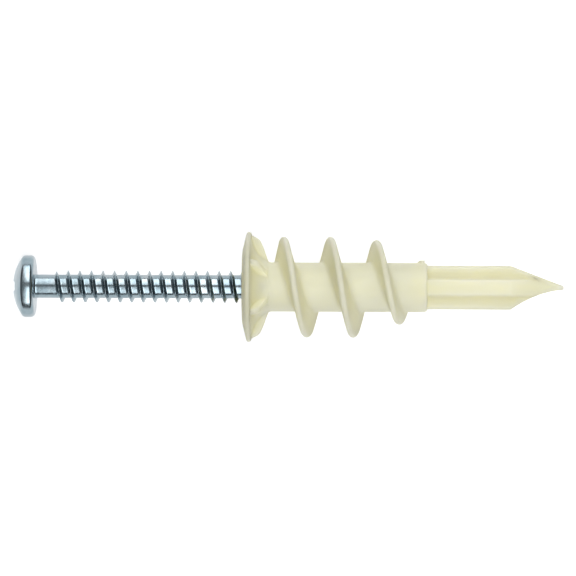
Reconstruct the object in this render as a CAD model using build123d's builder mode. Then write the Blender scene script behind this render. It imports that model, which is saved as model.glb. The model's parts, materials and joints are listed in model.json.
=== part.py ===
from build123d import *
from math import atan2, cos, radians, sin, tan
import os

# A nylon drywall anchor that drills its own hole, with its pan head screw started in the mouth.
# The anchor is one moulding and the screw is one piece of steel. Sizes are in millimetres.
# Stations are distances along the common axis from the front face of the flange:
# the drilling point lies at positive stations and the screw's head at negative ones.

# Flange of the anchor
flange_dia = 14.2
flange_land_dia = 9.8
flange_bevel = 0.5
flange_back = 1.1
flange_rim_round = 0.2

# Barrel of the anchor, and the curved neck that joins it to the flange
barrel_dia = 6.35
barrel_end = 23.8
neck_length = 2.8

# Gusset ribs behind the flange
rib_count = 6
rib_thickness = 0.8
rib_shoulder_dia = 12.9
rib_shoulder_reach = 1.15
rib_length = 2.4

# Coarse right-hand thread of the anchor
coarse_thread_dia = 13.0
coarse_thread_pitch = 6.0
coarse_crest_width = 0.4
coarse_base_width = 2.3
first_top_crest = 5.2
run_in_gap = 0.05
run_in_length = 1.0
run_out_start = 16.35
run_out_slope = 0.435
coarse_crest_round = 0.15
ridge_end_margin = 0.2
ridge_root_sink = 0.3
ridge_start_sink = 0.1
sections_per_turn = 20

# Nose of four fins, and its drilling point
nose_dia = 5.65
nose_fin_thickness = 2.1
nose_end = 34.5
point_end = 41.3
point_tip_dia = 0.5
point_relief = 0.55

# Mouth and bore of the anchor
mouth_dia = 5.2
mouth_depth = 4.6
mouth_wing_span = 7.0
mouth_wing_width = 1.5
mouth_wing_depth = 3.4
mouth_wing_taper = 8
bore_clearance = 0.1
bore_end_margin = 1.2
bore_end_angle = 59

# Screw
screw_length = 31.75
screw_root_dia = 2.9
screw_point_length = 3.5
screw_point_dia = 0.3
screw_start_depth = 4.9

# Fine right-hand thread of the screw
fine_thread_dia = 4.17
fine_thread_pitch = 1.5
fine_base_width = 0.8
fine_first_top_crest = -0.065
fine_plain_length = 2.05
fine_run_in_length = 1.5
fine_turns = 16
fine_point_margin = 0.35
fine_root_sink = 0.25
fine_sections_per_turn = 12

# Head of the screw
head_dia = 8.0
head_height = 2.95
head_rim_height = 1.5
head_edge_round = 0.35
recess_span = 4.4
recess_width = 1.15
recess_depth = 2.0
recess_taper = 9
recess_well_dia = 2.3

# The pair lies on a flat surface on two round rims: the flange's, at its front, and the head's, next
# to the dome. The axis leans by the angle between them, with the drilling point raised.
head_seat = screw_start_depth - screw_length
head_rim_end = head_seat - head_rim_height + head_edge_round
lean = atan2(flange_dia / 2 - head_dia / 2, flange_bevel - head_rim_end)

forward = Vector(cos(lean), 0, sin(lean))
level = Vector(0, 1, 0)
raised = forward.cross(level)
spine = Axis((0, 0, 0), forward)


def along(turn=0):
    """A plane through the axis: x is the station, and y stands out from the axis, level at turn 0."""
    outward = level * cos(radians(turn)) + raised * sin(radians(turn))
    return Plane(origin=(0, 0, 0), x_dir=forward, z_dir=forward.cross(outward))


def across(station):
    """A plane square to the axis at a station: z points to the drilling point, and x is level."""
    return Plane(origin=forward * station, x_dir=level, z_dir=forward)


# Sizes that follow from the ones above
barrel_radius = barrel_dia / 2
thread_radius = coarse_thread_dia / 2
nose_radius = nose_dia / 2
root_radius = screw_root_dia / 2
fine_radius = fine_thread_dia / 2
bore_radius = fine_radius + bore_clearance
bore_end = barrel_end - bore_end_margin
bore_cone_length = bore_radius / tan(radians(bore_end_angle))

# The coarse ridge rises out of the barrel behind the ribs, runs at full height and falls away
# towards the step. It is lofted through sections that stand on planes through the axis.
ridge_root_radius = barrel_radius - ridge_root_sink
ridge_start_radius = barrel_radius - ridge_start_sink
run_in_start = flange_back + neck_length + run_in_gap
ridge_end = barrel_end - coarse_crest_width / 2 - ridge_end_margin
flank_slope = (coarse_base_width - coarse_crest_width) / 2 / (thread_radius - barrel_radius)
section_count = round((ridge_end - run_in_start) / coarse_thread_pitch * sections_per_turn)


def crest_radius(station):
    """How far the crest of the coarse ridge stands from the axis at a station."""
    run_in = (station - run_in_start) / run_in_length * (thread_radius - ridge_start_radius)
    run_out = thread_radius - (station - run_out_start) * run_out_slope
    return min(thread_radius, ridge_start_radius + run_in, run_out)


with BuildPart() as ridge:
    for number in range(section_count + 1):
        station = run_in_start + (ridge_end - run_in_start) * number / section_count
        crest = crest_radius(station)
        shoulder = crest - coarse_crest_round
        crest_half = coarse_crest_width / 2
        root_half = crest_half + flank_slope * (shoulder - ridge_root_radius)
        with BuildSketch(along(360 * (station - first_top_crest) / coarse_thread_pitch)):
            Polygon(
                (station - root_half, ridge_root_radius),
                (station - crest_half, shoulder),
                (station - crest_half + coarse_crest_round, crest),
                (station + crest_half - coarse_crest_round, crest),
                (station + crest_half, shoulder),
                (station + root_half, ridge_root_radius),
                align=None,
            )
    loft(ruled=True)

# The nose: two crossed blades, turned to a cylinder and a point
with BuildPart() as nose:
    for quarter in (0, 90):
        with BuildSketch(along(quarter)):
            with Locations(((barrel_end + point_end) / 2, 0)):
                Rectangle(point_end - barrel_end, 2 * nose_dia)
        extrude(amount=nose_fin_thickness / 2, both=True)
    with BuildSketch(along()):
        Polygon(
            (barrel_end, 0),
            (barrel_end, nose_radius),
            (nose_end, nose_radius),
            (point_end, point_tip_dia / 2),
            (point_end, 0),
            align=None,
        )
    revolve(axis=spine, mode=Mode.INTERSECT)
    # The lower fin is hollowed behind its cutting edge
    with BuildSketch(along()):
        with BuildLine():
            edge_start = (nose_end, -nose_radius)
            edge_end = (point_end, -point_tip_dia / 2)
            SagittaArc(edge_start, edge_end, point_relief)
            Polyline(edge_end, (point_end, -nose_radius), edge_start)
        make_face()
    extrude(amount=nose_radius, both=True, mode=Mode.SUBTRACT)

with BuildPart() as anchor:
    with BuildSketch(along()):
        with BuildLine():
            flange_edge = flange_dia / 2
            rim_start = (flange_bevel, flange_edge)
            rim_end = (flange_back, flange_edge)
            neck_start = (flange_back, flange_edge - flange_rim_round)
            neck_end = (flange_back + neck_length, barrel_radius)
            Polyline((0, 0), (0, flange_land_dia / 2), rim_start, rim_end, neck_start)
            EllipticalCenterArc(
                center=(neck_end[0], neck_start[1]),
                x_radius=neck_length,
                y_radius=neck_start[1] - barrel_radius,
                start_angle=180,
                arc_size=90,
            )
            Polyline(neck_end, (barrel_end, barrel_radius), (barrel_end, 0), (0, 0))
        make_face()
    revolve(axis=spine)
    for number in range(rib_count):
        with BuildSketch(along(number * 360 / rib_count)):
            Polygon(
                (flange_back / 2, 0),
                (flange_back / 2, rib_shoulder_dia / 2),
                (flange_back + rib_shoulder_reach, rib_shoulder_dia / 2),
                (flange_back + rib_length, ridge_root_radius),
                (flange_back + rib_length, 0),
                align=None,
            )
        extrude(amount=rib_thickness / 2, both=True)
    add(ridge.part)
    add(nose.part)
    # The bore that the screw cuts into, its pointed end, and the driving recess in the mouth
    with BuildSketch(along()):
        Polygon(
            (0, 0),
            (0, mouth_dia / 2),
            (mouth_depth, bore_radius),
            (bore_end - bore_cone_length, bore_radius),
            (bore_end, 0),
            align=None,
        )
    revolve(axis=spine, mode=Mode.SUBTRACT)
    with BuildSketch(across(0)):
        for quarter in (0, 90):
            Rectangle(mouth_wing_span, mouth_wing_width, rotation=quarter)
    extrude(amount=mouth_wing_depth, taper=mouth_wing_taper, mode=Mode.SUBTRACT)

# The fine ridge of the screw is lofted in the same way: it rises out of the core under the head,
# runs in whole turns that are all alike, and falls away along the point.
point_start = screw_start_depth - screw_point_length
fine_start = head_seat + fine_plain_length
first_turn_start = fine_start + fine_run_in_length
last_turn_end = first_turn_start + fine_turns * fine_thread_pitch
fine_end = screw_start_depth - fine_point_margin
fine_flank_slope = fine_base_width / 2 / (fine_radius - root_radius)


def core_radius(station):
    """The radius of the screw's core at a station."""
    narrowing = max(0, station - point_start) / screw_point_length
    return root_radius - narrowing * (root_radius - screw_point_dia / 2)


def fine_stretch(start, end):
    """The stretch of the fine ridge between two stations."""
    count = round((end - start) / fine_thread_pitch * fine_sections_per_turn)
    with BuildPart() as stretch:
        for number in range(count + 1):
            station = start + (end - start) * number / count
            run_in = (station - fine_start) / fine_run_in_length
            run_out = (fine_end - station) / (fine_end - last_turn_end)
            core = core_radius(station)
            crest = core + (fine_radius - root_radius) * min(1, run_in, run_out)
            foot = core * (1 - fine_root_sink)
            foot_half = fine_flank_slope * (crest - foot)
            with BuildSketch(along(360 * (station - fine_first_top_crest) / fine_thread_pitch)):
                Polygon(
                    (station - foot_half, foot),
                    (station, crest),
                    (station + foot_half, foot),
                    align=None,
                )
        loft()
    return stretch.part


first_stretch = fine_stretch(fine_start, first_turn_start)
full_turn = fine_stretch(first_turn_start, first_turn_start + fine_thread_pitch)
last_stretch = fine_stretch(last_turn_end, fine_end)

# Corners of the screw's outline, each as its station and its distance from the axis
head_radius = head_dia / 2
head_top = head_seat - head_height
point_front = (screw_start_depth, screw_point_dia / 2)
point_back = (point_start, root_radius)
seat_inner = (head_seat, root_radius)
seat_corner = (head_seat, head_radius)
dome_corner = (head_seat - head_rim_height, head_radius)

# The top of the head is a dome, part of a ball that meets the rim and the top of the head
dome_height = head_height - head_rim_height
dome_radius = (head_radius**2 + dome_height**2) / (2 * dome_height)

with BuildPart() as screw:
    with BuildSketch(along()) as outline:
        with BuildLine():
            Polyline((screw_start_depth, 0), point_front, point_back, seat_inner, seat_corner, dome_corner)
            RadiusArc(dome_corner, (head_top, 0), -dome_radius)
            Line((head_top, 0), (screw_start_depth, 0))
        make_face()
        for corner in (seat_corner, dome_corner):
            fillet(outline.vertices().sort_by_distance(corner)[0], head_edge_round)
    revolve(axis=spine)
    add(first_stretch)
    for number in range(fine_turns):
        with Locations(forward * fine_thread_pitch * number):
            add(full_turn)
    add(last_stretch)
    # The cross recess that takes the driver
    with BuildSketch(across(head_top)):
        for quarter in (0, 90):
            Rectangle(recess_span, recess_width, rotation=quarter)
        Circle(recess_well_dia / 2)
    extrude(amount=recess_depth, taper=recess_taper, mode=Mode.SUBTRACT)

anchor.part.label = "anchor"
screw.part.label = "screw"

os.makedirs("parts", exist_ok=True)
export_step(anchor.part, "parts/anchor.step")
export_step(screw.part, "parts/screw.step")
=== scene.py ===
import json
from collections import namedtuple
from math import asin, atan, cos, pi, radians, sin, sqrt, tan

import bmesh
import bpy
import numpy as np
from mathutils import Matrix, Vector


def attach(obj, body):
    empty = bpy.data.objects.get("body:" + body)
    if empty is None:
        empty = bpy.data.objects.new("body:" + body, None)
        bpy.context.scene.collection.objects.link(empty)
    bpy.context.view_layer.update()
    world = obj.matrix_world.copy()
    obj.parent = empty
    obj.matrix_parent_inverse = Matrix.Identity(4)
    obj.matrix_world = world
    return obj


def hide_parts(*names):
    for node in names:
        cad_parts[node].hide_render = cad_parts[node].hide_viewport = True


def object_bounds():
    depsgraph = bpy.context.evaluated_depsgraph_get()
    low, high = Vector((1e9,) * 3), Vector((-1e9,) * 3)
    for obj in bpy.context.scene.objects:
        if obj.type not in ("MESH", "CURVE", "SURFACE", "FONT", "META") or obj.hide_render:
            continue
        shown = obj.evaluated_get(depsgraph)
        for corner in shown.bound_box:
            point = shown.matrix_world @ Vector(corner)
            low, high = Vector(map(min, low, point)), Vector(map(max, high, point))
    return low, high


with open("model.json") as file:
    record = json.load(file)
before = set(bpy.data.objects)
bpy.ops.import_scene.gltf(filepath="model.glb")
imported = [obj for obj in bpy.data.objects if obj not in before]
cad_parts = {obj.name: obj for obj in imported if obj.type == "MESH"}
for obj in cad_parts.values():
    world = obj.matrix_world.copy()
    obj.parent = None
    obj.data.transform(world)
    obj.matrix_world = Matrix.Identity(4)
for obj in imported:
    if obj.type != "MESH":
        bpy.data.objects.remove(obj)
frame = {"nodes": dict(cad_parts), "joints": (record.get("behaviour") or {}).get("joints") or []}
cad_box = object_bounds()

# A nylon drywall anchor that drills its own hole, with its screw started in the mouth.
# Lengths are in millimetres up to the point where a mesh is written, which is in metres.
MM = 0.001

# The common axis is the one that the screw travels along. Stations are distances along it from
# the front face of the flange. Turns go round it: 0 is level and a quarter turn is raised.
forward = Vector(frame["joints"][0]["axis"]).normalized()
level = Vector((0, 1, 0))
raised = forward.cross(level)


def reach(node):
    """The lowest and the highest station of a CAD node, and its greatest distance sideways."""
    corners = np.array([v.co for v in frame["nodes"][node].data.vertices]) / MM
    stations = corners @ np.array(forward)
    return stations.min(), stations.max(), np.abs(corners @ np.array(level)).max()


_, point_end, flange_radius = reach("anchor")
head_top, screw_tip, head_radius = reach("screw")

# Anchor. Names that end in start, end, back, crest or depth are stations.
land_radius = 4.9
flange_bevel = 0.5
flange_back = 1.1
flange_round = 0.28
neck_top_radius = 6.9
neck_length = 2.8
neck_end = flange_back + neck_length
barrel_radius = 3.175
barrel_end = 23.8
barrel_round = 0.35
rib_count = 6
rib_half = 0.4
# Each corner of a rib's outline: its station and its distance from the axis
rib_outline = (
    (1.1, 6.7), (1.5, 6.5), (1.95, 6.28), (2.3, 5.9),
    (2.65, 5.15), (3.0, 4.15), (3.4, 3.1), (4.0, 2.9),
)
ridge_pitch = 6.0
ridge_top_crest = 5.28
ridge_radius_full = 6.5
ridge_crest_half = 0.4
ridge_base_half = 1.05
ridge_crest_round = 0.38
ridge_foot_round = 0.45
ridge_start = 3.95
ridge_start_radius = 3.075
ridge_run_in = 1.0
ridge_run_out_start = 16.35
ridge_run_out_slope = 0.435
ridge_end = 23.4
ridge_end_fade = 0.1
nose_radius = 2.825
nose_end = 34.5
fin_half = 1.05
groove_fade = 0.4
point_radius = 0.25
point_relief = 0.55
point_nib = 0.06
mouth_radius = 2.6
mouth_depth = 4.6
mouth_lip = 0.1
wing_reach = 3.5
wing_half = 0.75
wing_depth = 2.6
wing_taper = radians(8)
bore_radius = 2.185
bore_end = 22.6
bore_end_angle = radians(59)

# Screw. Its seat, and names that end in start, end or crest, are stations too.
head_seat = -26.85
head_rim_height = 1.5
head_round = 0.5
seat_flat_radius = 2.4
seat_fillet = 0.18
root_radius = 1.52
crest_radius = 2.085
screw_pitch = 1.5
screw_top_crest = -0.065
screw_crest_half = 0.06
screw_flank = 0.45
screw_crest_round = 0.06
screw_foot_round = 0.16
shank_start = head_seat + 0.3
thread_start = -24.8
thread_run_in = 1.5
thread_run_out_start = 0.7
thread_end = 4.55
point_start = 1.4
tip_radius = 0.12
tip_length = 0.02
recess_reach = 2.2
recess_half = 0.575
recess_well = 1.15
recess_depth = 2.0
recess_taper = radians(9)
recess_floor_radius = 0.3

# Meshes
ANCHOR_COLUMNS = 192
SCREW_COLUMNS = 96
WELD = 0.0015
SHARP = radians(38)
LEAST_LOBE = 0.02
CORE_MARGIN = 0.001

# Where rows of points lie: as stations, depths, radii, shares of a way or angles in degrees
FACE_SHARES = (0.3, 0.65, 1.0)
NECK_BARE_ANGLE = 7
NECK_ANGLES = (
    9, 11, 14, 18, 22, 27, 32, 37, 42, 47, 51,
    55, 59, 63, 67, 71, 75, 79, 82, 84.5, 86,
)
NOSE_ROWS = 9
NOSE_LAST_GAP = 0.3
POINT_ROWS = 26
POINT_FIRST_GAP = 0.15
MOUTH_STATIONS = (0.9, 1.7, 2.5)
WING_FLOOR_GAP = 0.05
BORE_ROWS = 8
RECESS_DEPTHS = (1.5, 1.0, 0.5)
RECESS_FLOOR_SINKS = (0.1, 0.15)
RECESS_LIP_DEPTH = 0.1
# How much wider the recess is at each row of its lip, and how far that row lies under the dome
RECESS_LIP = ((0.0, 0.08), (0.06, 0.0))
DOME_FIRST_RADIUS = 2.7
DOME_RADII = (3.0, 3.3, 3.55)
THREAD_CREST_SHARES = (0, 0.5, 0.87, 1)
THREAD_FLANK_SHARES = (0.2, 0.4, 0.6, 0.8, 1)
THREAD_FOOT_SHARES = (0.13, 0.5, 1)
THREAD_GAP_SHARES = (0.25, 0.5, 0.75, 1)

# Sections with lobes: the rounds at a lobe's corner and foot, how far round the foot's arc goes,
# and how many columns the top, corner, side, foot and core take in half a lobe's sector
FIN_LOBE = dict(edge=0.4, root=0.88, foot_arc=pi / 4, shares=(8, 6, 4, 6, 0))
RIB_LOBE = dict(edge=0.25, root=0.35, foot_arc=pi / 2.3, shares=(3, 3, 4, 3, 3))
WING_LOBE = dict(edge=0.12, root=0.12, foot_arc=pi / 2.4, shares=(4, 3, 6, 3, 8))
RECESS_LOBE = dict(edge=0.1, root=0.1, foot_arc=pi / 2.6, shares=(2, 2, 4, 2, 2))

# A thread by its section. Slope is how far its flank goes along the axis for each unit outwards.
Thread = namedtuple("Thread", "top_crest pitch crest_half slope crest_round foot_round")
ridge_slope = (ridge_base_half - ridge_crest_half) / (ridge_radius_full - barrel_radius)
COARSE = Thread(
    ridge_top_crest, ridge_pitch, ridge_crest_half,
    ridge_slope, ridge_crest_round, ridge_foot_round,
)
FINE = Thread(
    screw_top_crest, screw_pitch, screw_crest_half,
    screw_flank, screw_crest_round, screw_foot_round,
)


def uniform(columns):
    """Evenly spaced turns, one for each column."""
    return np.arange(columns) * 2 * pi / columns


def ring(station, radius, turn):
    """A ring of points: station, level and raised distances."""
    station = np.broadcast_to(station, turn.shape)
    radius = np.broadcast_to(radius, turn.shape)
    return np.stack([station, radius * np.cos(turn), radius * np.sin(turn)], axis=1)


def arc_rings(columns, centre, radius, start, end, count):
    """Rings along an arc of the outline. Its angles go from the station axis outwards."""
    turns = uniform(columns)
    rings = []
    for angle in np.linspace(start, end, count):
        station = centre[0] + radius * cos(angle)
        rings.append(ring(station, centre[1] + radius * sin(angle), turns))
    return rings


def lobed(columns, count, core, tip, half, edge, root, foot_arc, shares):
    """Radii and turns of a section whose lobes reach out of a round core. Half is half as thick
    as a lobe, and the numbers of columns in shares are those of half a lobe's sector."""
    if tip - core < LEAST_LOBE:
        return np.full(columns, core), uniform(columns)
    foot_a = sqrt(max(core**2 - half**2, 0))
    height = tip - foot_a
    edge = min(edge, height / 3)
    root = min(root, height / 2)
    top_n, edge_n, side_n, root_n, core_n = shares
    # Half a lobe, by distances along it and across it
    top_t = np.linspace(0, half - edge, top_n + 1)
    top_a = np.sqrt(tip**2 - top_t**2)
    corner = np.linspace(0, pi / 2, edge_n + 1)[1:]
    corner_a = top_a[-1] - edge + edge * np.cos(corner)
    corner_t = half - edge + edge * np.sin(corner)
    side_a = np.linspace(corner_a[-1], foot_a + root, side_n + 1)[1:]
    side_t = np.full(side_n, half)
    foot = np.linspace(0, foot_arc, root_n + 1)[1:]
    root_a = foot_a + root - root * np.sin(foot)
    root_t = half + root - root * np.cos(foot)
    along = np.concatenate([top_a, corner_a, side_a, root_a])
    across = np.concatenate([top_t, corner_t, side_t, root_t])
    turns = np.arctan2(across, along)
    radii = np.maximum(np.hypot(across, along), core)
    if core_n:
        rest = np.linspace(turns[-1], pi / count, core_n + 1)[1:]
        turns = np.concatenate([turns, rest])
        radii = np.concatenate([radii, np.full(core_n, core)])
    # Each sector is that half and its mirror image
    sector = 2 * pi / count
    all_turns = []
    all_radii = []
    for number in range(count):
        start = number * sector
        all_turns += [start + turns, start + sector - turns[-2:0:-1]]
        all_radii += [radii, radii[-2:0:-1]]
    return np.concatenate(all_radii), np.concatenate(all_turns)


class Skin:
    """A closed mesh, gathered from strips of points about the axis."""

    def __init__(self):
        self.points = []
        self.faces = []

    def add(self, points):
        """Adds points and says what number the first one has."""
        start = sum(len(p) for p in self.points)
        self.points.append(points)
        return start

    def strip(self, rings):
        """Joins each ring to the next one."""
        columns = len(rings[0])
        start = self.add(np.concatenate(rings))
        here = np.arange(columns)
        after = (here + 1) % columns
        for number in range(len(rings) - 1):
            low = start + number * columns
            high = low + columns
            quads = np.stack([low + here, low + after, high + after, high + here], axis=1)
            self.faces += quads.tolist()

    def close(self, last, station):
        """Closes the hole inside a ring with a fan about a point on the axis."""
        columns = len(last)
        start = self.add(np.concatenate([last, [[station, 0, 0]]]))
        here = start + np.arange(columns)
        after = start + (np.arange(columns) + 1) % columns
        middle = np.full(columns, start + columns)
        self.faces += np.stack([here, after, middle], axis=1).tolist()

    def helix(self, stations, radii, turns, lines):
        """Joins a grid that follows a helix: after a whole turn a line has moved on by lines."""
        columns, rows = stations.shape
        around = np.broadcast_to(turns[:, None], stations.shape)
        points = np.stack([stations, radii * np.cos(around), radii * np.sin(around)], axis=2)
        start = self.add(points.reshape(-1, 3))
        number = start + np.arange(columns * rows).reshape(columns, rows)
        low, high = number[:-1], number[1:]
        quads = np.stack([low[:, :-1], high[:, :-1], high[:, 1:], low[:, 1:]], axis=2)
        self.faces += quads.reshape(-1, 4).tolist()
        last, first = number[-1, : rows - lines], number[0, lines:]
        self.faces += np.stack([last[:-1], first[:-1], first[1:], last[1:]], axis=1).tolist()

    def build(self, name):
        """The piece in metres, in the shared frame, welded and with its sharp edges marked."""
        local = np.concatenate(self.points)
        world = local @ np.array([forward, level, raised]) * MM
        mesh = bpy.data.meshes.new(name)
        mesh.from_pydata(world.tolist(), [], self.faces)
        grid = bmesh.new()
        grid.from_mesh(mesh)
        bmesh.ops.remove_doubles(grid, verts=grid.verts, dist=WELD * MM)
        bmesh.ops.dissolve_degenerate(grid, edges=grid.edges, dist=WELD * MM)
        bmesh.ops.recalc_face_normals(grid, faces=grid.faces)
        for face in grid.faces:
            face.smooth = True
        for edge in grid.edges:
            edge.smooth = len(edge.link_faces) == 2 and edge.calc_face_angle(0) < SHARP
        grid.to_mesh(mesh)
        grid.free()
        piece = bpy.data.objects.new(name, mesh)
        bpy.context.scene.collection.objects.link(piece)
        return piece


# Threads
def profile_parts(thread, crest, base):
    """A thread's height, the rounds of its crest and foot, and how far out the foot begins."""
    height = np.maximum(crest - base, 0)
    edge = np.minimum(thread.crest_round, height / 2)
    foot = np.minimum(thread.foot_round, height / 3)
    foot_at = thread.crest_half + thread.slope * np.maximum(height - edge - foot, 0)
    return height, edge, foot, foot_at


def profile_radius(thread, offset, crest, base):
    """The surface beside a crest: a rounded crest, a straight flank and a rounded foot."""
    height, edge, foot, foot_at = profile_parts(thread, crest, base)
    offset = np.abs(offset)
    over = np.clip(offset - (thread.crest_half - edge), 0, edge)
    top = crest - edge + np.sqrt(np.maximum(edge**2 - over**2, 0))
    flank = crest - edge - (offset - thread.crest_half) / thread.slope
    into = np.clip(foot_at + foot - offset, 0, foot)
    low = base + foot - np.sqrt(np.maximum(foot**2 - into**2, 0))
    below = np.where(offset <= foot_at, flank, low)
    radius = np.where(offset <= thread.crest_half, top, below)
    return np.where(height <= 0, base, np.maximum(radius, base))


def profile_offsets(thread, crest, base):
    """Where the lines of a thread's grid run beside its crest, for each crest given."""
    _, edge, foot, foot_at = profile_parts(thread, crest, base)
    side = [np.zeros_like(crest)]
    side += [thread.crest_half - edge * (1 - share) for share in THREAD_CREST_SHARES]
    flank = foot_at - thread.crest_half
    side += [thread.crest_half + flank * share for share in THREAD_FLANK_SHARES]
    side += [foot_at + foot * share for share in THREAD_FOOT_SHARES]
    last = side[-1]
    side += [last + (thread.pitch / 2 - last) * share for share in THREAD_GAP_SHARES]
    side = np.stack(side, axis=-1)
    return np.concatenate([-side[..., :0:-1], side[..., :-1]], axis=-1)


def nearest_crest(thread, station, turn):
    """The station of the crest that lies nearest to a point."""
    first = thread.top_crest + thread.pitch * turn / (2 * pi)
    return first + thread.pitch * np.round((station - first) / thread.pitch)


def thread_grid(thread, columns, low, high, offsets_at):
    """The stations, turns and lines of a grid that follows a thread from low to high."""
    turns = uniform(columns)
    first = thread.top_crest + thread.pitch * turns / (2 * pi)
    # Whole turns beyond both ends, which are then cut off, so that the grid has no gap there
    count_low = int(np.floor((low - thread.top_crest) / thread.pitch)) - 2
    count_high = int(np.ceil((high - thread.top_crest) / thread.pitch)) + 1
    rows = []
    for number in range(count_low, count_high + 1):
        crests = first + thread.pitch * number
        rows.append(crests[:, None] + offsets_at(crests))
    lines = rows[0].shape[1]
    return np.clip(np.concatenate(rows, axis=1), low, high), turns, lines


# Anchor
def ridge_crest(station):
    """How far the coarse ridge stands from the axis."""
    rise = (ridge_radius_full - ridge_start_radius) / ridge_run_in
    run_in = ridge_start_radius + (station - ridge_start) * rise
    run_out = ridge_radius_full - (station - ridge_run_out_start) * ridge_run_out_slope
    crest = np.minimum(np.minimum(ridge_radius_full, run_in), run_out)
    ending = np.clip((ridge_end + ridge_end_fade - station) / ridge_end_fade, 0, 1)
    return np.maximum(barrel_radius, barrel_radius + (crest - barrel_radius) * ending)


def ridge_surface(station, turn):
    """The barrel with its coarse ridge, as a radius."""
    crest_station = nearest_crest(COARSE, station, turn)
    offset = station - crest_station
    return profile_radius(COARSE, offset, ridge_crest(crest_station), barrel_radius)


def ridge_offsets(crests):
    """Where the lines of the barrel's grid run beside each crest."""
    return profile_offsets(COARSE, ridge_crest(crests), barrel_radius)


def neck_station(angle):
    """The station of the neck at an angle of its curve, in degrees."""
    return flange_back + neck_length * (1 - cos(radians(angle)))


def neck_radius(station):
    """The curved neck between the flange and the barrel."""
    share = np.clip((neck_end - station) / neck_length, 0, 1)
    return neck_top_radius - (neck_top_radius - barrel_radius) * sqrt(1 - share**2)


def rib_tip(station):
    """How far a rib stands from the axis."""
    stations, reaches = zip(*rib_outline)
    return float(np.interp(station, stations, reaches))


def point_limit(station):
    """The cone of the drilling point."""
    return float(np.interp(station, [nose_end, point_end], [nose_radius, point_radius]))


def relief_limit(station):
    """How far the lower fin reaches, which is hollow behind its cutting edge."""
    share = max(station - nose_end, 0) / (point_end - nose_end)
    straight = nose_radius + (point_radius - nose_radius) * share
    return straight - point_relief * 4 * share * (1 - share)


def nose_ring(station):
    """A section of the four-finned nose, or of its point, where the grooves run out."""
    outer = point_limit(station)
    half = min(fin_half, outer / sqrt(2) - CORE_MARGIN)
    core = half * sqrt(2)
    depth = outer - core
    if depth > LEAST_LOBE:
        radii, turns = lobed(ANCHOR_COLUMNS, 4, core, outer, half, **FIN_LOBE)
    else:
        radii, turns = np.full(ANCHOR_COLUMNS, outer), uniform(ANCHOR_COLUMNS)
    radii = outer - (outer - radii) * min(1, depth / groove_fade)
    points = ring(station, radii, turns)
    points[:, 1] = np.maximum(points[:, 1], -relief_limit(station))
    return points


def mouth_core(station):
    """The round part of the mouth, which narrows to the bore."""
    return mouth_radius + (bore_radius - mouth_radius) * station / mouth_depth


def mouth_ring(station, grow=0.0):
    """A section of the mouth with its four wings."""
    change = grow - tan(wing_taper) * station
    return ring(station, *lobed(
        ANCHOR_COLUMNS, 4, mouth_core(station) + grow,
        wing_reach + change, wing_half + change, **WING_LOBE,
    ))


def make_anchor():
    """The nylon moulding, outside and inside."""
    skin = Skin()
    columns = ANCHOR_COLUMNS
    turns = uniform(columns)

    # Face of the flange, from the mouth outwards, and its rim
    outline = mouth_ring(0, grow=mouth_lip)
    edge = ring(0, land_radius, turns)
    rings = [mouth_ring(mouth_lip), outline]
    for share in FACE_SHARES:
        rings.append(outline + (edge - outline) * share)
    slope = atan((flange_radius - land_radius) / flange_bevel)
    rim_radius = flange_radius - flange_round
    # The front arc stands a little forward, so that the bevel runs into it
    front = (flange_bevel + flange_round * 0.9, rim_radius)
    back = (flange_back - flange_round, rim_radius)
    rings += arc_rings(columns, front, flange_round, pi / 2 + slope, pi / 2, 4)
    rings += arc_rings(columns, back, flange_round, pi / 2, 0, 4)

    # Neck with its ribs
    rings.append(ring(flange_back, neck_top_radius, turns))
    bare = neck_station(NECK_BARE_ANGLE)
    rings.append(ring(bare, neck_radius(bare), turns))
    for angle in NECK_ANGLES:
        station = neck_station(angle)
        core = neck_radius(station)
        tip = max(rib_tip(station), core)
        radii, rib_turns = lobed(columns, rib_count, core, tip, rib_half, **RIB_LOBE)
        radii = np.maximum(radii, ridge_surface(station, rib_turns) + core - barrel_radius)
        rings.append(ring(station, radii, rib_turns))
    rings.append(ring(neck_end, ridge_surface(neck_end, turns), turns))
    skin.strip(rings)

    # Barrel with its coarse thread
    high = barrel_end - barrel_round
    stations, turns, lines = thread_grid(COARSE, columns, neck_end, high, ridge_offsets)
    skin.helix(stations, ridge_surface(stations, turns[:, None]), turns, lines)

    # End of the barrel, nose and point
    rings = [ring(high, ridge_surface(high, turns), turns)]
    centre = (high, barrel_radius - barrel_round)
    rings += arc_rings(columns, centre, barrel_round, pi / 2, 0, 4)
    body = np.linspace(barrel_end, nose_end - NOSE_LAST_GAP, NOSE_ROWS)
    cone = np.linspace(nose_end + POINT_FIRST_GAP, point_end, POINT_ROWS)
    rings += [nose_ring(station) for station in (*body, nose_end, *cone)]
    skin.strip(rings)
    skin.close(rings[-1], point_end + point_nib)

    # Mouth and bore
    rings = [mouth_ring(station) for station in (mouth_lip, *MOUTH_STATIONS, wing_depth)]
    for station in (wing_depth + WING_FLOOR_GAP, mouth_depth):
        rings.append(ring(station, mouth_core(station), turns))
    cone_start = bore_end - bore_radius / tan(bore_end_angle)
    for station in np.linspace(mouth_depth, cone_start, BORE_ROWS)[1:]:
        rings.append(ring(station, bore_radius, turns))
    skin.strip(rings)
    skin.close(rings[-1], bore_end)
    return skin.build("nylon_anchor")


# Screw
def screw_root(station):
    """The screw's core, which narrows to the point."""
    return np.interp(station, [point_start, screw_tip], [root_radius, tip_radius])


def screw_crest(station):
    """How far the fine thread stands from the axis."""
    start = np.clip((station - thread_start) / thread_run_in, 0, 1)
    end = np.clip((thread_end - station) / (thread_end - thread_run_out_start), 0, 1)
    return screw_root(station) + (crest_radius - root_radius) * start * (2 - start) * end


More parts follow.
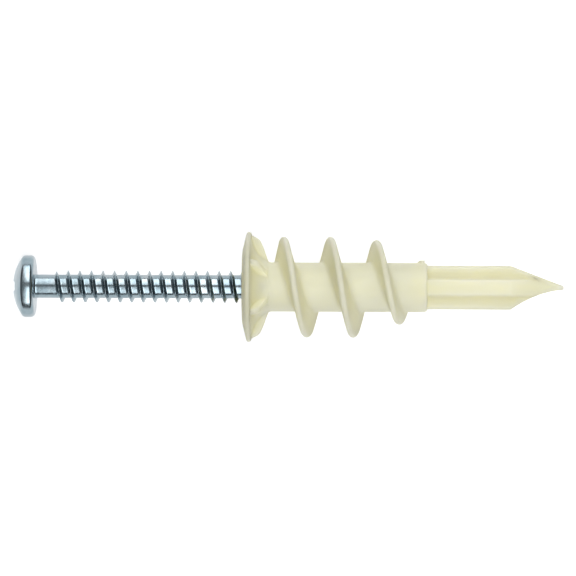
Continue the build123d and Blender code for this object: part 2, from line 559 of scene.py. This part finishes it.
def fine_surface(station, turn):
    """The screw's core with its fine thread, as a radius."""
    crest_station = nearest_crest(FINE, station, turn)
    base = screw_root(station)
    lift = screw_crest(crest_station) - screw_root(crest_station)
    return profile_radius(FINE, station - crest_station, base + lift, base)


def fine_offsets(crests):
    """Where the lines of the shank's grid run beside each crest."""
    return profile_offsets(FINE, screw_crest(crests), screw_root(crests))


dome_height = head_seat - head_rim_height - head_top
ball_radius = (head_radius**2 + dome_height**2) / (2 * dome_height)


def dome_station(radius):
    """The dome on top of the head, which is a cap of a ball."""
    return head_top + ball_radius - np.sqrt(ball_radius**2 - radius**2)


def recess_ring(depth, grow=0.0):
    """Radii and turns of the cross recess at a depth under the top of the head."""
    change = grow - tan(recess_taper) * depth
    return lobed(
        SCREW_COLUMNS, 4, recess_well + change,
        recess_reach + change, recess_half + change, **RECESS_LOBE,
    )


def make_screw():
    """The steel screw with its head, recess and fine thread."""
    skin = Skin()
    columns = SCREW_COLUMNS
    turns = uniform(columns)

    # Floor and walls of the recess, then the dome
    depths = (recess_depth, *RECESS_DEPTHS)
    rings = [ring(head_top + depth, *recess_ring(depth)) for depth in depths]
    edge_sink, middle_sink = RECESS_FLOOR_SINKS
    floor = ring(head_top + recess_depth + edge_sink, recess_floor_radius, turns)
    skin.close(floor, head_top + recess_depth + middle_sink)
    skin.strip([floor, rings[0]])
    for grow, sink in RECESS_LIP:
        radii, recess_turns = recess_ring(RECESS_LIP_DEPTH, grow)
        rings.append(ring(dome_station(radii) + sink, radii, recess_turns))
    outline = rings[-1]
    target = ring(dome_station(DOME_FIRST_RADIUS), DOME_FIRST_RADIUS, turns)
    for share in (0.5, 1.0):
        mixed = outline + (target - outline) * share
        mixed[:, 0] = dome_station(np.hypot(mixed[:, 1], mixed[:, 2]))
        rings.append(mixed)
    for radius in DOME_RADII:
        rings.append(ring(dome_station(radius), radius, turns))

    # Rounded corner between the dome and the rim, then the rim, the seat and its fillet
    inner_radius = head_radius - head_round
    inner_ball = ball_radius - head_round
    centre = (head_top + ball_radius - sqrt(inner_ball**2 - inner_radius**2), inner_radius)
    dome_meet = pi - asin(inner_radius / inner_ball)
    rings += arc_rings(columns, centre, head_round, dome_meet, pi / 2, 7)
    centre = (head_seat - head_round, inner_radius)
    rings += arc_rings(columns, centre, head_round, pi / 2, 0, 6)
    rings.append(ring(head_seat, seat_flat_radius, turns))
    centre = (head_seat + seat_fillet, root_radius + seat_fillet)
    rings += arc_rings(columns, centre, seat_fillet, pi, 3 * pi / 2, 4)
    rings.append(ring(shank_start, root_radius, turns))
    skin.strip(rings)

    # Threaded shank and point
    high = screw_tip - tip_length
    stations, turns, lines = thread_grid(FINE, columns, shank_start, high, fine_offsets)
    skin.helix(stations, fine_surface(stations, turns[:, None]), turns, lines)
    skin.close(ring(high, fine_surface(high, turns), turns), screw_tip)
    return skin.build("zinc_screw")


# Materials
def material(name):
    """A new material, with its node tree and its shader."""
    made = bpy.data.materials.new(name)
    made.use_nodes = True
    tree = made.node_tree
    tree.nodes.clear()
    shader = tree.nodes.new("ShaderNodeBsdfPrincipled")
    output = tree.nodes.new("ShaderNodeOutputMaterial")
    tree.links.new(shader.outputs["BSDF"], output.inputs["Surface"])
    return made, tree, shader


def colour(*levels):
    """A colour given as it looks on screen, from 0 to 255, in the linear values of shaders."""
    return (*[((one / 255 + 0.055) / 1.055) ** 2.4 for one in levels], 1.0)


def tint(red, green, blue):
    """A factor or a brightness for each channel, as a colour."""
    return (red, green, blue, 1.0)


def noise(tree, scale, detail=3.0, stretch=None):
    """Noise in the object's own space, with scale in waves a metre."""
    place = tree.nodes.new("ShaderNodeTexCoord").outputs["Object"]
    if stretch:
        along_axis = Matrix((forward, level, raised)).transposed().to_euler()
        turned = tree.nodes.new("ShaderNodeMapping")
        turned.vector_type = "TEXTURE"
        turned.inputs["Rotation"].default_value = along_axis
        turned.inputs["Scale"].default_value = stretch
        tree.links.new(place, turned.inputs["Vector"])
        place = turned.outputs["Vector"]
    node = tree.nodes.new("ShaderNodeTexNoise")
    node.inputs["Scale"].default_value = scale
    node.inputs["Detail"].default_value = detail
    tree.links.new(place, node.inputs["Vector"])
    return node.outputs["Fac"]


def radial_distance(tree, whole):
    """How far a point of the surface is from the common axis, as a share of a whole distance."""
    place = tree.nodes.new("ShaderNodeTexCoord").outputs["Object"]
    crossed = tree.nodes.new("ShaderNodeVectorMath")
    crossed.operation = "CROSS_PRODUCT"
    crossed.inputs[1].default_value = forward / whole
    tree.links.new(place, crossed.inputs[0])
    length = tree.nodes.new("ShaderNodeVectorMath")
    length.operation = "LENGTH"
    tree.links.new(crossed.outputs["Vector"], length.inputs[0])
    return length.outputs["Value"]


def ramp(tree, value, stops):
    """A colour ramp over a value."""
    node = tree.nodes.new("ShaderNodeValToRGB")
    while len(node.color_ramp.elements) < len(stops):
        node.color_ramp.elements.new(0.5)
    for element, (place, shade) in zip(node.color_ramp.elements, stops):
        element.position = place
        element.color = shade
    tree.links.new(value, node.inputs["Fac"])
    return node.outputs["Color"]


def between(tree, value, low, high):
    """A value from 0 to 1 laid out between low and high."""
    node = tree.nodes.new("ShaderNodeMapRange")
    node.inputs["To Min"].default_value = low
    node.inputs["To Max"].default_value = high
    tree.links.new(value, node.inputs["Value"])
    return node.outputs["Result"]


def bump(tree, heights, shader):
    """Raises the surface by each height, given as a value and its depth in millimetres."""
    normal = None
    for value, depth in heights:
        node = tree.nodes.new("ShaderNodeBump")
        node.inputs["Distance"].default_value = depth * MM
        node.inputs["Strength"].default_value = 1.0
        tree.links.new(value, node.inputs["Height"])
        if normal:
            tree.links.new(normal, node.inputs["Normal"])
        normal = node.outputs["Normal"]
    tree.links.new(normal, shader.inputs["Normal"])


def nylon():
    """Natural nylon: off-white, waxy and translucent, a little darker towards the axis, with
    painted shade that makes it darker and greyer out at the ridge crests and the flange rim.
    """
    made, tree, shader = material("natural_nylon")
    flow = noise(tree, 160, detail=2.0, stretch=(3.0, 1.0, 1.0))
    shades = ramp(tree, flow, [
        (0.30, colour(229, 226, 195)),
        (0.50, colour(236, 233, 202)),
        (0.70, colour(241, 238, 210)),
    ])
    # Darker by distance from the axis: a little at the nose and bore, and painted shade of thin
    # translucent edges, darker and greyer, out at the ridge crests and the flange rim.
    painted_edge_shade = ramp(tree, radial_distance(tree, 8 * MM), [
        (0.36, tint(0.97, 0.97, 0.96)),
        (0.42, tint(1.0, 1.0, 1.0)),
        (0.66, tint(0.97, 0.96, 0.93)),
        (0.80, tint(0.93, 0.93, 0.93)),
        (0.88, tint(0.81, 0.81, 0.79)),
    ])
    mixed = tree.nodes.new("ShaderNodeMix")
    mixed.data_type = "RGBA"
    mixed.blend_type = "MULTIPLY"
    mixed.inputs["Factor"].default_value = 1.0
    tree.links.new(shades, mixed.inputs["A"])
    tree.links.new(painted_edge_shade, mixed.inputs["B"])
    tree.links.new(mixed.outputs["Result"], shader.inputs["Base Color"])
    shader.inputs["Subsurface Weight"].default_value = 1.0
    shader.inputs["Subsurface Radius"].default_value = (1.0, 0.98, 0.85)
    shader.inputs["Subsurface Scale"].default_value = 2.5 * MM
    shader.inputs["IOR"].default_value = 1.53
    shader.inputs["Specular IOR Level"].default_value = 0.35
    tree.links.new(between(tree, noise(tree, 900), 0.48, 0.64), shader.inputs["Roughness"])
    fine, broad = noise(tree, 2600, detail=2.0), noise(tree, 350, detail=1.0)
    bump(tree, [(fine, 0.006), (broad, 0.03)], shader)
    return made


def zinc():
    """Zinc-plated steel with a bluish passivation."""
    made, tree, shader = material("zinc_plating")
    shades = ramp(tree, noise(tree, 500), [
        (0.32, colour(126, 144, 152)),
        (0.52, colour(143, 158, 165)),
        (0.70, colour(158, 167, 171)),
    ])
    tree.links.new(shades, shader.inputs["Base Color"])
    shader.inputs["Metallic"].default_value = 1.0
    tree.links.new(between(tree, noise(tree, 1800), 0.17, 0.28), shader.inputs["Roughness"])
    fine, broad = noise(tree, 5000, detail=2.0), noise(tree, 900, detail=2.0)
    bump(tree, [(fine, 0.002), (broad, 0.008)], shader)
    return made


anchor = make_anchor()
anchor.data.materials.append(nylon())
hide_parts("anchor")
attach(anchor, "anchor")

screw = make_screw()
screw.data.materials.append(zinc())
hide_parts("screw")
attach(screw, "screw")

# Floor. Its half width is in metres, and its glow is what makes it look white.
FLOOR_HALF = 1.5
FLOOR_SHADE = 0.8
FLOOR_GLOW = 0.55


def arithmetic(tree, operation, first, second):
    """A node that adds or multiplies an output and another output or a number."""
    node = tree.nodes.new("ShaderNodeMath")
    node.operation = operation
    tree.links.new(first, node.inputs[0])
    if isinstance(second, float):
        node.inputs[1].default_value = second
    else:
        tree.links.new(second, node.inputs[1])
    return node


def add_floor():
    """A pale floor that shows white, and still takes the shadow of what lies on it."""
    low = cad_box[0].z
    mesh = bpy.data.meshes.new("floor")
    signs = ((-1, -1), (1, -1), (1, 1), (-1, 1))
    corners = [(x * FLOOR_HALF, y * FLOOR_HALF, low) for x, y in signs]
    mesh.from_pydata(corners, [], [(0, 1, 2, 3)])
    floor = bpy.data.objects.new("floor", mesh)
    bpy.context.scene.collection.objects.link(floor)
    made = bpy.data.materials.new("pale_floor")
    made.use_nodes = True
    tree = made.node_tree
    tree.nodes.clear()
    diffuse = tree.nodes.new("ShaderNodeBsdfDiffuse")
    diffuse.inputs["Color"].default_value = (FLOOR_SHADE, FLOOR_SHADE, FLOOR_SHADE, 1.0)
    glow = tree.nodes.new("ShaderNodeEmission")
    path = tree.nodes.new("ShaderNodeLightPath").outputs
    seen = arithmetic(tree, "ADD", path["Is Camera Ray"], path["Is Glossy Ray"])
    seen = arithmetic(tree, "ADD", seen.outputs[0], path["Is Transmission Ray"])
    strength = arithmetic(tree, "MULTIPLY", seen.outputs[0], FLOOR_GLOW)
    strength.use_clamp = True
    tree.links.new(strength.outputs[0], glow.inputs["Strength"])
    both = tree.nodes.new("ShaderNodeAddShader")
    tree.links.new(diffuse.outputs[0], both.inputs[0])
    tree.links.new(glow.outputs[0], both.inputs[1])
    output = tree.nodes.new("ShaderNodeOutputMaterial")
    tree.links.new(both.outputs[0], output.inputs["Surface"])
    mesh.materials.append(made)


add_floor()

# Light. Distances and sizes of lamps are in metres, and they face the middle of the object.
LAMP_TARGET = Vector((0.005, 0, 0))
LAMP_DISTANCE = 0.6
LAMP_LENGTH = 0.75


def add_softbox(name, angle, wide, radiance):
    """A soft panel over one side of the object, at an angle in degrees from straight up."""
    data = bpy.data.lights.new(name, "AREA")
    data.shape = "RECTANGLE"
    data.size = LAMP_LENGTH
    data.size_y = wide
    data.energy = radiance * pi * wide * LAMP_LENGTH
    lamp = bpy.data.objects.new(name, data)
    bpy.context.scene.collection.objects.link(lamp)
    towards = Vector((0, sin(radians(angle)), cos(radians(angle))))
    lamp.location = LAMP_TARGET + towards * LAMP_DISTANCE
    lamp.rotation_mode = "QUATERNION"
    lamp.rotation_quaternion = towards.to_track_quat("Z", "X")
    lamp.visible_camera = False


add_softbox("softbox_far", angle=50, wide=0.27, radiance=3.75)
add_softbox("softbox_near", angle=-36, wide=0.22, radiance=4.6)


def add_world():
    """A dim studio round the object, which gets lighter towards straight up."""
    world = bpy.data.worlds.new("studio")
    bpy.context.scene.world = world
    world.use_nodes = True
    sky = world.node_tree
    direction = sky.nodes.new("ShaderNodeTexCoord")
    parts = sky.nodes.new("ShaderNodeSeparateXYZ")
    sky.links.new(direction.outputs["Generated"], parts.inputs["Vector"])
    shades = ramp(sky, parts.outputs["Z"], [
        (0.0, tint(0.04, 0.04, 0.04)),
        (0.35, tint(0.08, 0.08, 0.085)),
        (0.75, tint(0.24, 0.245, 0.25)),
    ])
    sky.links.new(shades, sky.nodes["Background"].inputs["Color"])


add_world()

# Camera. The first five values were measured in the photograph, in pixels and radians.
PHOTO_SIZE = 576
PIXELS_PER_MM = 7.75
FLANGE_FACE_X = 242.8
AXIS_Y = 286.9
ROLL = radians(0.2)
TIP_TOWARDS_CAMERA = radians(1.5)
CAMERA_DISTANCE = 0.5
SENSOR_WIDTH = 36


def add_camera():
    """The camera of the photograph: above the object, square to its axis, with a long lens."""
    tip_cos, tip_sin = cos(TIP_TOWARDS_CAMERA), sin(TIP_TOWARDS_CAMERA)
    backward = raised * tip_cos + forward * tip_sin
    right = forward * tip_cos - raised * tip_sin
    up = level * cos(ROLL) - right * sin(ROLL)
    right = right * cos(ROLL) + level * sin(ROLL)
    pixel = MM / PIXELS_PER_MM
    middle = PHOTO_SIZE / 2
    target = right * (middle - FLANGE_FACE_X) * pixel - up * (middle - AXIS_Y) * pixel
    place = target + backward * CAMERA_DISTANCE
    data = bpy.data.cameras.new("camera")
    data.sensor_width = SENSOR_WIDTH
    data.lens = SENSOR_WIDTH * CAMERA_DISTANCE / (PHOTO_SIZE * pixel)
    data.clip_start = 0.01
    camera = bpy.data.objects.new("camera", data)
    bpy.context.scene.collection.objects.link(camera)
    camera.matrix_world = Matrix((
        (right.x, up.x, backward.x, place.x),
        (right.y, up.y, backward.y, place.y),
        (right.z, up.z, backward.z, place.z),
        (0, 0, 0, 1),
    ))
    bpy.context.scene.camera = camera


add_camera()
bpy.context.scene.view_settings.view_transform = "Standard"
